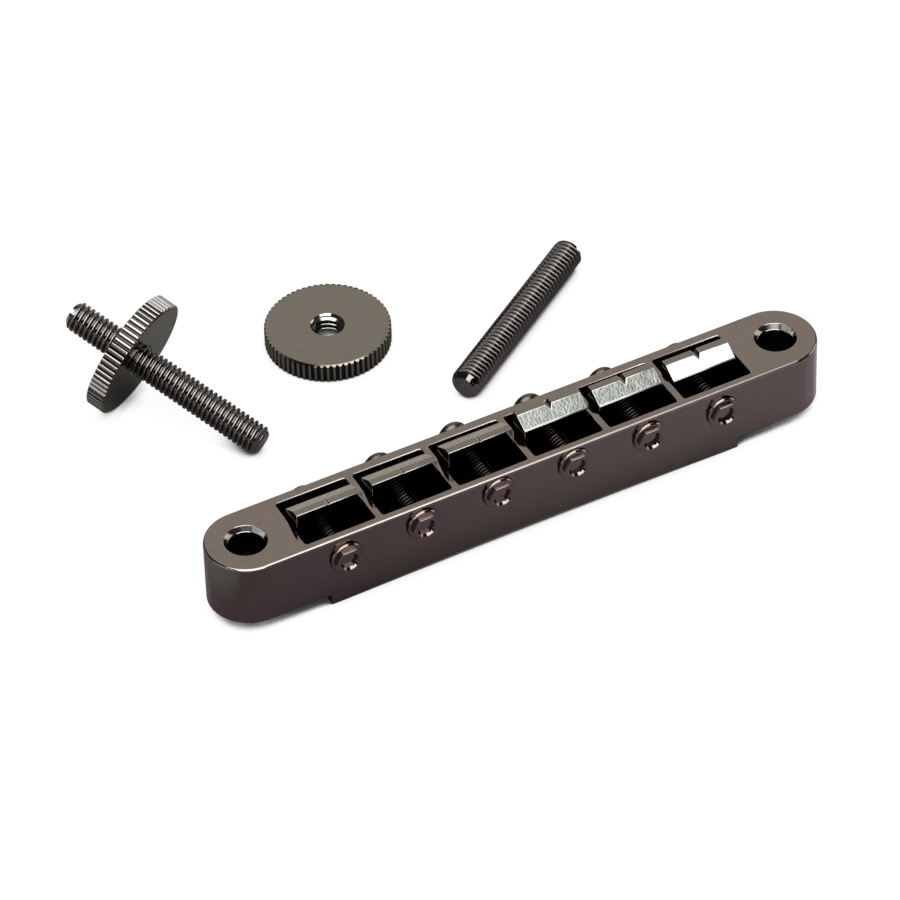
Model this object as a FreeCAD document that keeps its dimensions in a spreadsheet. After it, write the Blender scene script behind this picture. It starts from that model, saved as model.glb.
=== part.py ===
import FreeCAD, Part
import os
import Sketcher

# A tune-o-matic bridge for a guitar, laid out with its two posts and two thumb wheels.
# X runs along the bridge, Y from the screw heads to the rear, Z up.
# The origin lies midway between the two post holes, on the plane that seats on the thumb wheels.
# The deeper middle of the bridge reaches below that plane, to the floor that all pieces lie on.

STRING_COUNT = 6
HEXAGON_CORNERS = 6

# Driving dimensions, in millimetres and degrees.
DIMENSIONS = {
    # Bridge body: the posts and the body's ends lie beyond the outer strings
    "string_pitch": 10.5,
    "post_offset": 10.75,
    "end_reach": 5.175,
    "body_width": 10.72,
    "body_height": 8.7,
    "middle_drop": 1.6,
    "middle_overhang": 2.2,
    "arch_land": 1.95,
    "arch_rise": 0.78,
    "body_edge": 0.2,
    "post_hole_radius": 2.35,
    "post_sink_width": 0.33,
    "post_sink_depth": 0.85,
    # Saddle wells
    "divider_wall": 1.0,
    "front_wall": 1.15,
    "rear_wall": 1.43,
    "well_depth": 7.2,
    # Intonation screws
    "screw_crown_depth": 2.37,
    "screw_arc_radius": 355.0,
    "screw_radius": 1.5,
    "screw_clearance": 0.05,
    "screw_end_play": 0.08,
    "hexagon_width": 3.2,
    "flange_lip": 0.3,
    "flange_thickness": 0.4,
    "flange_rim": 0.15,
    "hexagon_height": 0.62,
    "socket_width": 2.1,
    "socket_depth": 0.85,
    # Rear caps
    "cap_radius": 2.0,
    "cap_height": 2.07,
    "cap_neck_radius": 1.25,
    "cap_girth_place": 0.92,
    "cap_shoulder_radius": 1.56,
    "cap_shoulder_drop": 0.43,
    "cap_centre_radius": 0.6,
    # Saddles
    "saddle_side_gap": 0.3,
    "saddle_depth": 3.0,
    "saddle_foot": 2.6,
    "ridge_width": 1.0,
    "slope_drop": 1.13,
    "slope_lip": 0.15,
    "bass_notch_width": 0.3,
    "bass_notch_depth": 0.12,
    "treble_notch_width": 0.8,
    "treble_notch_depth": 0.4,
    "saddle_1_ridge": 5.39,
    "saddle_2_ridge": 4.72,
    "saddle_3_ridge": 4.87,
    "saddle_4_ridge": 4.87,
    "saddle_5_ridge": 4.55,
    "saddle_6_ridge": 4.66,
    "saddle_1_place": 0.22,
    "saddle_2_place": 0.6,
    "saddle_3_place": 0.55,
    "saddle_4_place": 0.42,
    "saddle_5_place": 0.42,
    "saddle_6_place": 0.42,
    # Posts
    "post_radius": 2.0,
    "post_length": 29.4,
    "post_chamfer": 0.6,
    "slot_width": 0.7,
    "slot_depth": 0.8,
    "post_a_foot_across": -23.34,
    "post_a_foot_behind": 23.05,
    "post_a_bearing": 120.03,
    "post_b_foot_across": 3.22,
    "post_b_foot_behind": 19.55,
    "post_b_bearing": 33.69,
    # Thumb wheels
    "wheel_radius": 8.1,
    "wheel_thickness": 2.6,
    "wheel_bore_clearance": 0.05,
    "wheel_countersink": 0.15,
    "knurl_depth": 0.32,
    "knurl_tooth_width": 0.78,
    "knurl_teeth": 64,
    "wheel_a_station": 18.78,
    "wheel_b_across": -6.38,
    "wheel_b_behind": 37.98,
    # How far every cut runs past the surface that it opens
    "overrun": 1.0,
}

document = FreeCAD.newDocument("tune_o_matic_bridge")
sheet = document.addObject("Spreadsheet::Sheet", "dimensions")
for row, (alias, value) in enumerate(DIMENSIONS.items(), start=1):
    sheet.set(f"A{row}", str(value))
    sheet.setAlias(f"A{row}", alias)
document.recompute()


def size(alias):
    """The expression that reads one cell of the sheet."""
    return f"dimensions.{alias}"


# Places that several pieces share, as expressions of the sheet's cells.
FLOOR = f"(-{size('middle_drop')})"
OUTER_STRING = f"({(STRING_COUNT - 1) / 2} * {size('string_pitch')})"
POST_PLACE = f"({OUTER_STRING} + {size('post_offset')})"
WELL_WIDTH = f"({size('string_pitch')} - {size('divider_wall')})"
BODY_FRONT = f"(-{size('body_width')} / 2)"
BODY_REAR = f"({size('body_width')} / 2)"
FLANGE_REAR = f"({BODY_FRONT} - {size('screw_end_play')})"
FLANGE_FRONT = f"({FLANGE_REAR} - {size('flange_thickness')})"
HEXAGON_FRONT = f"({FLANGE_FRONT} - {size('hexagon_height')})"
CAP_FRONT = f"({BODY_REAR} + {size('screw_end_play')})"
FLANGE_RADIUS = f"({size('hexagon_width')} / 2 / cos(30) + {size('flange_lip')})"
SCREW_HOLE_RADIUS = f"({size('screw_radius')} + {size('screw_clearance')})"
WHEEL_BORE_RADIUS = f"({size('post_radius')} + {size('wheel_bore_clearance')})"


def string_place(string):
    """Where a string crosses the bridge, along X from the middle."""
    return f"({string - (STRING_COUNT + 1) / 2} * {size('string_pitch')})"


def screw_height(string):
    """Height of a screw's axis: the six axes follow the arc of the fingerboard."""
    place = string_place(string)
    crown = f"{size('body_height')} - {size('screw_crown_depth')}"
    return f"({crown} - {place} * {place} / (2 * {size('screw_arc_radius')}))"


# Building helpers

def add_body(name):
    """A new body whose label names its file."""
    body = document.addObject("PartDesign::Body", name)
    body.Label = name
    return body


def add_sketch(body, name, role, offset="0"):
    """A sketch on one of the body's own origin planes, moved along that plane's normal."""
    sketch = body.newObject("Sketcher::SketchObject", name)
    plane = next(item for item in body.Origin.OriginFeatures if item.Role == role)
    sketch.AttachmentSupport = [(plane, "")]
    sketch.MapMode = "FlatFace"
    sketch.setExpression("AttachmentOffset.Base.z", offset)
    return sketch


def pin_point(sketch, geometry, vertex, point):
    """Hold a point of the sketch at two expressions, measured from the sketch's origin."""
    for kind, expression in zip(("DistanceX", "DistanceY"), point):
        index = sketch.addConstraint(Sketcher.Constraint(kind, geometry, vertex, 1.0))
        sketch.setExpression(f"Constraints[{index}]", expression)


def add_outline(sketch, points):
    """Close straight sides through the points."""
    for index, point in enumerate(points):
        sketch.addGeometry(Part.Point(FreeCAD.Vector()), True)
        pin_point(sketch, index, 1, point)
    document.recompute()
    corners = [sketch.getPoint(index, 1) for index in range(len(points))]
    for index, corner in enumerate(corners):
        following = (index + 1) % len(points)
        side = sketch.addGeometry(Part.LineSegment(corner, corners[following]), False)
        sketch.addConstraint(Sketcher.Constraint("Coincident", side, 1, index, 1))
        sketch.addConstraint(Sketcher.Constraint("Coincident", side, 2, following, 1))


def add_circle(sketch, centre, radius):
    """A circle at a centre and with a radius given as expressions."""
    circle = Part.Circle(FreeCAD.Vector(), FreeCAD.Vector(0, 0, 1), 1.0)
    geometry = sketch.addGeometry(circle, False)
    pin_point(sketch, geometry, 3, centre)
    index = sketch.addConstraint(Sketcher.Constraint("Radius", geometry, 1.0))
    sketch.setExpression(f"Constraints[{index}]", radius)


def rectangle(left, right, near, far):
    """The four corners of a rectangle."""
    return [(left, near), (right, near), (right, far), (left, far)]


def hexagon(width):
    """The corners of a hexagon with two level flats, by its width across flats."""
    corners = []
    for corner in range(HEXAGON_CORNERS):
        turn = 360 * corner / HEXAGON_CORNERS
        reach = f"{width} / 2 / cos(30)"
        corners.append((f"{reach} * cos({turn})", f"{reach} * sin({turn})"))
    return corners


def add_pad(body, sketch, length, both_ways=False):
    """Extrude a sketch, away from its plane or to both sides of it."""
    pad = body.newObject("PartDesign::Pad", f"{sketch.Name}_pad")
    pad.Profile = sketch
    pad.SideType = "Symmetric" if both_ways else "One side"
    pad.setExpression("Length", length)
    document.recompute()
    return pad


def add_pocket(body, sketch, depth=None):
    """Cut a sketch's outline to a depth, or right through the body to both sides."""
    before = body.Shape.Volume
    pocket = body.newObject("PartDesign::Pocket", f"{sketch.Name}_pocket")
    pocket.Profile = sketch
    if depth is None:
        pocket.SideType = "Symmetric"
        pocket.Type = "ThroughAll"
    else:
        pocket.setExpression("Length", depth)
    document.recompute()
    assert body.Shape.Volume < before, f"{pocket.Name} cuts nothing"
    return pocket


def add_revolution(body, sketch):
    """Turn a sketch once round its own vertical axis."""
    revolution = body.newObject("PartDesign::Revolution", f"{sketch.Name}_revolution")
    revolution.Profile = sketch
    revolution.ReferenceAxis = (sketch, ["V_Axis"])
    document.recompute()
    return revolution


def chamfer_edges(body, name, width, wanted):
    """Chamfer those edges of the body's last feature that the test wants."""
    base = body.Tip
    names = [f"Edge{n}" for n, edge in enumerate(base.Shape.Edges, start=1) if wanted(edge)]
    assert names, f"{name} finds no edge"
    chamfer = body.newObject("PartDesign::Chamfer", name)
    chamfer.Base = (base, names)
    chamfer.setExpression("Size", width)
    document.recompute()
    return chamfer


def close(first, second):
    """Whether two coordinates agree."""
    return abs(first - second) < 1e-6


def place(body, across, behind, height, axis=("0", "0", "1"), angle="0"):
    """Bind a body's placement to expressions for its place, its turning axis and its angle."""
    base = f"vector({across}; {behind}; {height})"
    turn = f"rotation(vector({axis[0]}; {axis[1]}; {axis[2]}); {angle})"
    body.setExpression("Placement", f"placement({base}; {turn})")


# Bridge body

def make_bridge_body():
    """A bar with round ends over the posts, a deeper arched middle and six saddle wells."""
    body = add_body("bridge_body")
    end_centre = f"({POST_PLACE} + {size('end_reach')} - {BODY_REAR})"
    middle = f"({OUTER_STRING} + {size('middle_overhang')})"
    top = size("body_height")

    profile = add_sketch(body, "bar_profile", "XZ_Plane")
    add_outline(profile, [
        (f"-{end_centre}", "0"),
        (f"-{middle}", "0"),
        (f"-{middle}", FLOOR),
        (middle, FLOOR),
        (middle, "0"),
        (end_centre, "0"),
        (end_centre, top),
        (f"-{end_centre}", top),
    ])
    add_pad(body, profile, size("body_width"), both_ways=True)

    ends = add_sketch(body, "round_ends", "XY_Plane")
    for side in ("-", ""):
        add_circle(ends, (f"{side}{end_centre}", "0"), BODY_REAR)
    add_pad(body, ends, top)

    arch = add_sketch(body, "underside_arch", "XZ_Plane")
    half_span = f"({middle} - {size('arch_land')})"
    rise = size("arch_rise")
    arch_radius = f"(({half_span} * {half_span} + {rise} * {rise}) / (2 * {rise}))"
    add_circle(arch, ("0", f"{FLOOR} + {rise} - {arch_radius}"), arch_radius)
    add_pocket(body, arch)

    def on_outer_rim(edge):
        """Edges of the top face, before anything is cut in it."""
        return close(edge.BoundBox.ZMin, DIMENSIONS["body_height"])

    chamfer_edges(body, "soft_rims", size("body_edge"), on_outer_rim)

    wells = add_sketch(body, "saddle_well", "XY_Plane", top)
    first = string_place(1)
    half_well = f"{WELL_WIDTH} / 2"
    front = f"{BODY_FRONT} + {size('front_wall')}"
    rear = f"{BODY_REAR} - {size('rear_wall')}"
    add_outline(wells, rectangle(f"{first} - {half_well}", f"{first} + {half_well}", front, rear))
    well = add_pocket(body, wells, size("well_depth"))
    row = body.newObject("PartDesign::LinearPattern", "well_row")
    row.Originals = [well]
    row.Direction = (wells, ["H_Axis"])
    row.setExpression("Length", f"{STRING_COUNT - 1} * {size('string_pitch')}")
    row.Occurrences = STRING_COUNT
    body.Tip = row
    document.recompute()

    posts = add_sketch(body, "post_holes", "XY_Plane")
    for side in ("-", ""):
        add_circle(posts, (f"{side}{POST_PLACE}", "0"), size("post_hole_radius"))
    add_pocket(body, posts)

    def on_post_hole(edge):
        """The upper rim of each post hole."""
        box = edge.BoundBox
        level_at_top = close(box.ZMin, DIMENSIONS["body_height"])
        return level_at_top and close(box.XLength, 2 * DIMENSIONS["post_hole_radius"])

    rims = chamfer_edges(body, "post_hole_rims", size("post_sink_width"), on_post_hole)
    rims.ChamferType = "Two distances"
    rims.setExpression("Size2", size("post_sink_depth"))
    document.recompute()

    holes = add_sketch(body, "screw_holes", "XZ_Plane")
    for string in range(1, STRING_COUNT + 1):
        add_circle(holes, (string_place(string), screw_height(string)), SCREW_HOLE_RADIUS)
    add_pocket(body, holes)
    return body


# Saddles

def make_saddle(string):
    """A block that rides on its screw: upright on one side, sloping on the other, notched on top."""
    body = add_body(f"saddle_{string}")
    half = "bass" if string <= STRING_COUNT / 2 else "treble"
    ridge = size(f"saddle_{string}_ridge")
    half_depth = f"{size('saddle_depth')} / 2"
    shoulder = f"{ridge} - {size('slope_drop')}"

    profile = add_sketch(body, "block", "YZ_Plane")
    add_outline(profile, [
        (f"-{half_depth}", f"-{size('saddle_foot')}"),
        (half_depth, f"-{size('saddle_foot')}"),
        (half_depth, ridge),
        (f"{half_depth} - {size('ridge_width')}", ridge),
        (f"-{half_depth} + {size('slope_lip')}", shoulder),
        (f"-{half_depth}", shoulder),
    ])
    add_pad(body, profile, f"{WELL_WIDTH} - 2 * {size('saddle_side_gap')}", both_ways=True)

    hole = add_sketch(body, "threaded_hole", "XZ_Plane")
    add_circle(hole, ("0", "0"), SCREW_HOLE_RADIUS)
    add_pocket(body, hole)

    notch = add_sketch(body, "string_notch", "XZ_Plane")
    half_notch = f"{size(f'{half}_notch_width')} / 2"
    above = f"{ridge} + {size('overrun')}"
    add_outline(notch, [
        ("0", f"{ridge} - {size(f'{half}_notch_depth')}"),
        (half_notch, ridge),
        (half_notch, above),
        (f"-{half_notch}", above),
        (f"-{half_notch}", ridge),
    ])
    add_pocket(body, notch)

    # The bass half of the row is turned round, so that its slopes face the rear.
    turned = "180" if half == "bass" else "0"
    place(body, string_place(string), size(f"saddle_{string}_place"), screw_height(string), angle=turned)
    return body


# Intonation screws and their caps

def make_intonation_screw(string):
    """Flange and hexagon in front, and a shank through both walls that ends at the cap."""
    body = add_body(f"intonation_screw_{string}")
    rim = size("flange_rim")
    shank = size("screw_radius")

    profile = add_sketch(body, "turned_profile", "XY_Plane")
    add_outline(profile, [
        ("0", FLANGE_FRONT),
        (f"{FLANGE_RADIUS} - {rim}", FLANGE_FRONT),
        (FLANGE_RADIUS, f"{FLANGE_FRONT} + {rim}"),
        (FLANGE_RADIUS, FLANGE_REAR),
        (shank, FLANGE_REAR),
        (shank, CAP_FRONT),
        ("0", CAP_FRONT),
    ])
    add_revolution(body, profile)

    # The XZ plane faces the front, so distances along its normal are turned round.
    head = add_sketch(body, "hexagon_head", "XZ_Plane", f"-{FLANGE_FRONT}")
    add_outline(head, hexagon(size("hexagon_width")))
    add_pad(body, head, size("hexagon_height"))

    socket = add_sketch(body, "hexagon_socket", "XZ_Plane", f"-{HEXAGON_FRONT}")
    add_outline(socket, hexagon(size("socket_width")))
    add_pocket(body, socket, size("socket_depth"))

    place(body, string_place(string), "0", screw_height(string))
    return body


def make_screw_cap(string):
    """A round knob on the screw's end, behind the rear wall."""
    body = add_body(f"screw_cap_{string}")
    radius = size("cap_radius")
    top = f"{CAP_FRONT} + {size('cap_height')}"

    profile = add_sketch(body, "turned_profile", "XY_Plane")
    add_outline(profile, [
        ("0", CAP_FRONT),
        (size("cap_neck_radius"), CAP_FRONT),
        (radius, f"{CAP_FRONT} + {size('cap_girth_place')}"),
        (size("cap_shoulder_radius"), f"{top} - {size('cap_shoulder_drop')}"),
        (size("cap_centre_radius"), top),
        ("0", top),
    ])
    add_revolution(body, profile)

    place(body, string_place(string), "0", screw_height(string))
    return body


# Posts and thumb wheels

def make_post(name):
    """A straight threaded post with chamfered ends and a screwdriver slot in its upper end."""
    body = add_body(name)
    radius = size("post_radius")
    chamfer = size("post_chamfer")
    length = size("post_length")

    profile = add_sketch(body, "turned_profile", "XZ_Plane")
    add_outline(profile, [
        ("0", "0"),
        (f"{radius} - {chamfer}", "0"),
        (radius, chamfer),
        (radius, f"{length} - {chamfer}"),
        (f"{radius} - {chamfer}", length),
        ("0", length),
    ])
    add_revolution(body, profile)

    slot = add_sketch(body, "screwdriver_slot", "XY_Plane", length)
    half_slot = f"{size('slot_width')} / 2"
    reach = f"({radius} + {size('overrun')})"
    add_outline(slot, rectangle(f"-{half_slot}", half_slot, f"-{reach}", reach))
    add_pocket(body, slot, size("slot_depth"))
    return body


def make_thumb_wheel(name):
    """A disc with a countersunk threaded hole and a ring of straight knurl teeth round its rim."""
    body = add_body(name)
    tip = size("wheel_radius")
    root = f"({tip} - {size('knurl_depth')})"
    thickness = size("wheel_thickness")
    sink = size("wheel_countersink")

    profile = add_sketch(body, "turned_profile", "XZ_Plane")
    add_outline(profile, [
        (f"{WHEEL_BORE_RADIUS} + {sink}", "0"),
        (root, "0"),
        (root, thickness),
        (f"{WHEEL_BORE_RADIUS} + {sink}", thickness),
        (WHEEL_BORE_RADIUS, f"{thickness} - {sink}"),
        (WHEEL_BORE_RADIUS, sink),
    ])
    add_revolution(body, profile)

    # The tooth's flanks run on inside the disc, to twice its depth and so to twice its width.
    tooth = add_sketch(body, "knurl_tooth", "XY_Plane")
    heel = f"{root} - {size('knurl_depth')}"
    half_heel = size("knurl_tooth_width")
    add_outline(tooth, [(heel, f"-{half_heel}"), (tip, "0"), (heel, half_heel)])
    ridge = add_pad(body, tooth, thickness)
    knurl = body.newObject("PartDesign::PolarPattern", "knurl")
    knurl.Originals = [ridge]
    knurl.Axis = (tooth, ["N_Axis"])
    knurl.Angle = 360
    knurl.setExpression("Occurrences", size("knurl_teeth"))
    body.Tip = knurl
    document.recompute()
    return body


def make_post_and_wheel_a():
    """Post A leans on the rim of its thumb wheel, with its lower end on the floor."""
    post = make_post("post_a")
    wheel = make_thumb_wheel("thumb_wheel_a")
    bearing = size("post_a_bearing")
    reach = f"({size('wheel_a_station')} - {size('post_chamfer')})"
    lean = f"atan(({size('wheel_radius')} - {size('post_radius')}) / {reach})"
    above_floor = f"{size('post_radius')} * cos({lean}) - {size('post_chamfer')} * sin({lean})"
    foot_height = f"({FLOOR} + {above_floor})"
    axis = (f"-sin({bearing})", f"cos({bearing})", "0")
    upright = f"90 deg - {lean}"
    station = size("wheel_a_station")
    place(post, size("post_a_foot_across"), size("post_a_foot_behind"), foot_height, axis, upright)
    place(
        wheel,
        f"{size('post_a_foot_across')} + {station} * cos({lean}) * cos({bearing})",
        f"{size('post_a_foot_behind')} + {station} * cos({lean}) * sin({bearing})",
        f"{foot_height} + {station} * sin({lean})",
        axis,
        upright,
    )
    return [post, wheel]


def make_post_and_wheel_b():
    """Post B lies on its side and wheel B lies flat, both loose on the floor."""
    post = make_post("post_b")
    wheel = make_thumb_wheel("thumb_wheel_b")
    bearing = size("post_b_bearing")
    above_floor = f"{FLOOR} + {size('post_radius')}"
    axis = (f"-sin({bearing})", f"cos({bearing})", "0")
    place(post, size("post_b_foot_across"), size("post_b_foot_behind"), above_floor, axis, "90")
    place(wheel, size("wheel_b_across"), size("wheel_b_behind"), FLOOR)
    return [post, wheel]


def main():
    """Build every piece, test it and write its file."""
    bodies = [make_bridge_body()]
    for string in range(1, STRING_COUNT + 1):
        bodies.append(make_saddle(string))
        bodies.append(make_intonation_screw(string))
        bodies.append(make_screw_cap(string))
    bodies.extend(make_post_and_wheel_a())
    bodies.extend(make_post_and_wheel_b())
    document.recompute()

    for item in document.Objects:
        faults = {"Invalid", "Error"} & set(item.State)
        assert not faults, f"{item.Label} is {faults}"

    os.makedirs("parts", exist_ok=True)
    for body in bodies:
        shape = body.Shape
        assert not shape.isNull() and shape.isValid(), f"{body.Label} has no valid shape"
        assert len(shape.Solids) == 1, f"{body.Label} is not one solid"
        shape.exportStep(f"parts/{body.Label}.step")
        box = shape.BoundBox
        print(f"{body.Label}: {shape.Volume:.2f} mm3, z {box.ZMin:.3f} to {box.ZMax:.3f}")


main()
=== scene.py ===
"""Dresses a tune-o-matic bridge, its posts and its thumb wheels, and sets up their studio."""

import logging
import math
from collections.abc import Callable
from dataclasses import dataclass
from enum import Enum

import bmesh
import bpy
from mathutils import Matrix, Vector

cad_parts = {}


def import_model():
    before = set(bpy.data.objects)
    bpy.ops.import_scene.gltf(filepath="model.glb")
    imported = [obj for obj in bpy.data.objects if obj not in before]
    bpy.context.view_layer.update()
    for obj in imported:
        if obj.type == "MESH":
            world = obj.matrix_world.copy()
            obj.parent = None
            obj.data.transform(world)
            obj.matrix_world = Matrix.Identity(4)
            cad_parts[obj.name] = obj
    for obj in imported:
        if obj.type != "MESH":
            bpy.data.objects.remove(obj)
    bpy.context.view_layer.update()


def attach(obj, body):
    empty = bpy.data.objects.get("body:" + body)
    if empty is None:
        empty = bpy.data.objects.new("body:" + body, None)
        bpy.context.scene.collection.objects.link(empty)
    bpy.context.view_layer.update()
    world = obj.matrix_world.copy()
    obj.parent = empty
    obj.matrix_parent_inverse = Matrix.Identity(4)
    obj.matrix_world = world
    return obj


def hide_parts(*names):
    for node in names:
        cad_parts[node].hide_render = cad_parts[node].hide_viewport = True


LOG = logging.getLogger("bridge")
MILLIMETRE = 0.001
STRINGS = range(1, 7)
BASS_STRINGS = 3
MIDDLE_STRING = 3.5
STRING_PITCH = 10.5
SCREW_ARC_TOP = 6.33
SCREW_ARC_RADIUS = 355.0
FLOOR = -1.6
OVERCUT = 1.0
CLOSE = 0.01
SLACK = 0.02
WHEEL_STATION = 18.78

Point = tuple[float, float, float]
Colour = tuple[float, float, float]
Vert = bmesh.types.BMVert
Edge = bmesh.types.BMEdge
Face = bmesh.types.BMFace
Piece = bpy.types.Object
Material = bpy.types.Material
Tree = bpy.types.NodeTree
Node = bpy.types.Node
Socket = bpy.types.NodeSocket
Finishes = dict[str, Material]


class Cut(Enum):
    """What a second solid does to the first."""

    AWAY = "DIFFERENCE"
    INSIDE = "INTERSECT"
    ONTO = "UNION"


def along_y() -> Matrix:
    """The turn that lays a piece built along Z so that it runs to the rear, along Y."""
    return Matrix.Rotation(-math.pi / 2, 4, "X")


def points_of(geometry: list[Vert | Edge | Face]) -> list[Vert]:
    """The points among the elements that an operator made."""
    return [item for item in geometry if isinstance(item, Vert)]


class Solid:
    """A closed mesh in millimetres, shaped by bmesh operators before it becomes an object."""

    def __init__(self) -> None:
        """Start with an empty mesh."""
        self.bm = bmesh.new()

    @classmethod
    def box(cls, low: Point, high: Point) -> "Solid":
        """Make a block between two corners.

        Args:
            low: The corner with the lowest x, y and z.
            high: The opposite corner.

        Returns:
            The block.
        """
        solid = cls()
        bmesh.ops.create_cube(solid.bm, size=1.0)
        span = Vector(high) - Vector(low)
        bmesh.ops.scale(solid.bm, vec=span, verts=solid.bm.verts)
        bmesh.ops.translate(solid.bm, vec=Vector(low) + span / 2, verts=solid.bm.verts)
        return solid

    @classmethod
    def prism(cls, corners: list[Point], along: Point) -> "Solid":
        """Extrude a flat polygon.

        Args:
            corners: The polygon's corners in order.
            along: The vector from the first face to the second.

        Returns:
            The prism, with its faces pointing outwards.
        """
        solid = cls()
        face = solid.bm.faces.new([solid.bm.verts.new(corner) for corner in corners])
        made = bmesh.ops.extrude_face_region(solid.bm, geom=[face])["geom"]
        bmesh.ops.translate(solid.bm, vec=along, verts=points_of(made))
        return solid.turn_outwards()

    @classmethod
    def disc(cls, radius: float, low: float, high: float, segments: int = 64) -> "Solid":
        """Make a plain round bar along Z.

        Args:
            radius: Its radius.
            low: Height of its lower end.
            high: Height of its upper end.
            segments: How many sides stand for the round.

        Returns:
            The bar.
        """
        solid = cls()
        bmesh.ops.create_cone(
            solid.bm, cap_ends=True, segments=segments, radius1=radius, radius2=radius, depth=high - low
        )
        bmesh.ops.translate(solid.bm, vec=(0, 0, (low + high) / 2), verts=solid.bm.verts)
        return solid

    @classmethod
    def cross_bar(cls, radius: float, reach: float) -> "Solid":
        """Make a round bar along Y, as long on both sides of the origin, for a hole from front to rear."""
        return cls.disc(radius, -reach, reach, segments=40).move(along_y())

    @classmethod
    def hexagon(cls, width: float, low: float, high: float) -> "Solid":
        """Make a hexagonal bar along Z, of a width across flats, between two heights."""
        bar = cls.disc(width / 2 / math.cos(math.pi / 6), low, high, segments=6)
        return bar.move(Matrix.Rotation(math.pi / 6, 4, "Z"))

    @classmethod
    def lathe(cls, profile: list[tuple[float, float]], steps: int = 64) -> "Solid":
        """Turn a profile about Z.

        Args:
            profile: Points of radius and height, from the axis to the axis.
            steps: How many steps the full turn takes.

        Returns:
            The turned solid.
        """
        solid = cls()
        corners = [solid.bm.verts.new((radius, 0, height)) for radius, height in profile]
        for first, second in zip(corners, corners[1:]):
            solid.bm.edges.new((first, second))
        bmesh.ops.spin(
            solid.bm, geom=solid.bm.verts[:] + solid.bm.edges[:], cent=(0, 0, 0), axis=(0, 0, 1),
            angle=2 * math.pi, steps=steps, use_merge=True,
        )
        return solid.turn_outwards()

    def turn_outwards(self) -> "Solid":
        """Merge doubled points and point every face outwards."""
        bmesh.ops.remove_doubles(self.bm, verts=self.bm.verts, dist=1e-4)
        bmesh.ops.recalc_face_normals(self.bm, faces=self.bm.faces)
        return self

    def move(self, matrix: Matrix) -> "Solid":
        """Turn and shift the whole solid by a matrix."""
        bmesh.ops.transform(self.bm, matrix=matrix, verts=self.bm.verts)
        return self

    def shift(self, x: float = 0.0, y: float = 0.0, z: float = 0.0) -> "Solid":
        """Shift the whole solid."""
        return self.move(Matrix.Translation((x, y, z)))

    def add(self, other: "Solid") -> "Solid":
        """Take in another solid's faces beside its own, and use the other up.

        Args:
            other: The solid to take in.

        Returns:
            This solid.
        """
        mesh = bpy.data.meshes.new("joined")
        other.bm.to_mesh(mesh)
        other.bm.free()
        self.bm.from_mesh(mesh)
        bpy.data.meshes.remove(mesh)
        return self

    def combine(self, other: "Solid", how: Cut) -> "Solid":
        """Cut this solid by another one, or fuse the two, and use the other up.

        Args:
            other: The second solid.
            how: What the second solid does to this one.

        Returns:
            This solid.
        """
        first, second = blanks = [solid.release("blank") for solid in (self, other)]
        modifier = first.modifiers.new("cut", "BOOLEAN")
        modifier.operation = how.value
        modifier.solver = "EXACT"
        modifier.object = second
        bpy.context.view_layer.update()
        result = first.evaluated_get(bpy.context.evaluated_depsgraph_get()).to_mesh()
        self.bm = bmesh.new()
        self.bm.from_mesh(result)
        for blank in blanks:
            mesh = blank.data
            bpy.data.objects.remove(blank)
            bpy.data.meshes.remove(mesh)
        bmesh.ops.remove_doubles(self.bm, verts=self.bm.verts, dist=1e-5)
        bmesh.ops.dissolve_degenerate(self.bm, edges=self.bm.edges, dist=1e-5)
        return self

    def round_edges(
        self,
        width: float,
        segments: int = 3,
        chosen: Callable[[Edge], bool] = lambda edge: True,
        sharpest: float = 28.0,
    ) -> "Solid":
        """Round the solid's sharp edges.

        Args:
            width: How far the rounding reaches on each side of an edge.
            segments: How many faces stand for the round.
            chosen: Tells whether a sharp edge is to be rounded.
            sharpest: The angle, in degrees, from which an edge counts as sharp.

        Returns:
            This solid.
        """
        limit = math.radians(sharpest)
        edges = [
            edge for edge in self.bm.edges
            if len(edge.link_faces) == 2 and edge.calc_face_angle(0.0) > limit and chosen(edge)
        ]
        bmesh.ops.bevel(
            self.bm, geom=edges, offset=width, offset_type="OFFSET", affect="EDGES",
            segments=segments, profile=0.5, material=-1, clamp_overlap=True,
        )
        return self

    def release(self, name: str) -> Piece:
        """Hand the mesh over to a new object in the scene, as it stands.

        Args:
            name: The object's name.

        Returns:
            The object.
        """
        mesh = bpy.data.meshes.new(name)
        self.bm.to_mesh(mesh)
        self.bm.free()
        made = bpy.data.objects.new(name, mesh)
        bpy.context.scene.collection.objects.link(made)
        return made

    def to_object(
        self, node: str, body: str, slot: str, materials: list[Material], crease: float = 35.0, name: str = ""
    ) -> Piece:
        """Make the object that stands for a node of the frame, in metres.

        Args:
            node: The frame's node that it replaces.
            body: The frame's body that it rides on.
            slot: The record's material slot; it is not used.
            materials: The finishes that its faces' material numbers stand for.
            crease: The angle, in degrees, from which an edge stays hard in the shading.
            name: The object's name, where it isn't the node's.

        Returns:
            The object.
        """
        bmesh.ops.scale(self.bm, vec=(MILLIMETRE,) * 3, verts=self.bm.verts)
        for face in self.bm.faces:
            face.smooth = True
        for edge in self.bm.edges:
            edge.smooth = len(edge.link_faces) == 2 and edge.calc_face_angle(0.0) < math.radians(crease)
        piece = self.release(f"plated_{name or node}")
        for material in materials:
            piece.data.materials.append(material)
        even = piece.modifiers.new("even_faces", "WEIGHTED_NORMAL")
        even.weight = 100
        even.thresh = 0.0
        even.keep_sharp = True
        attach(piece, body)
        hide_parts(node)
        return piece


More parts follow.
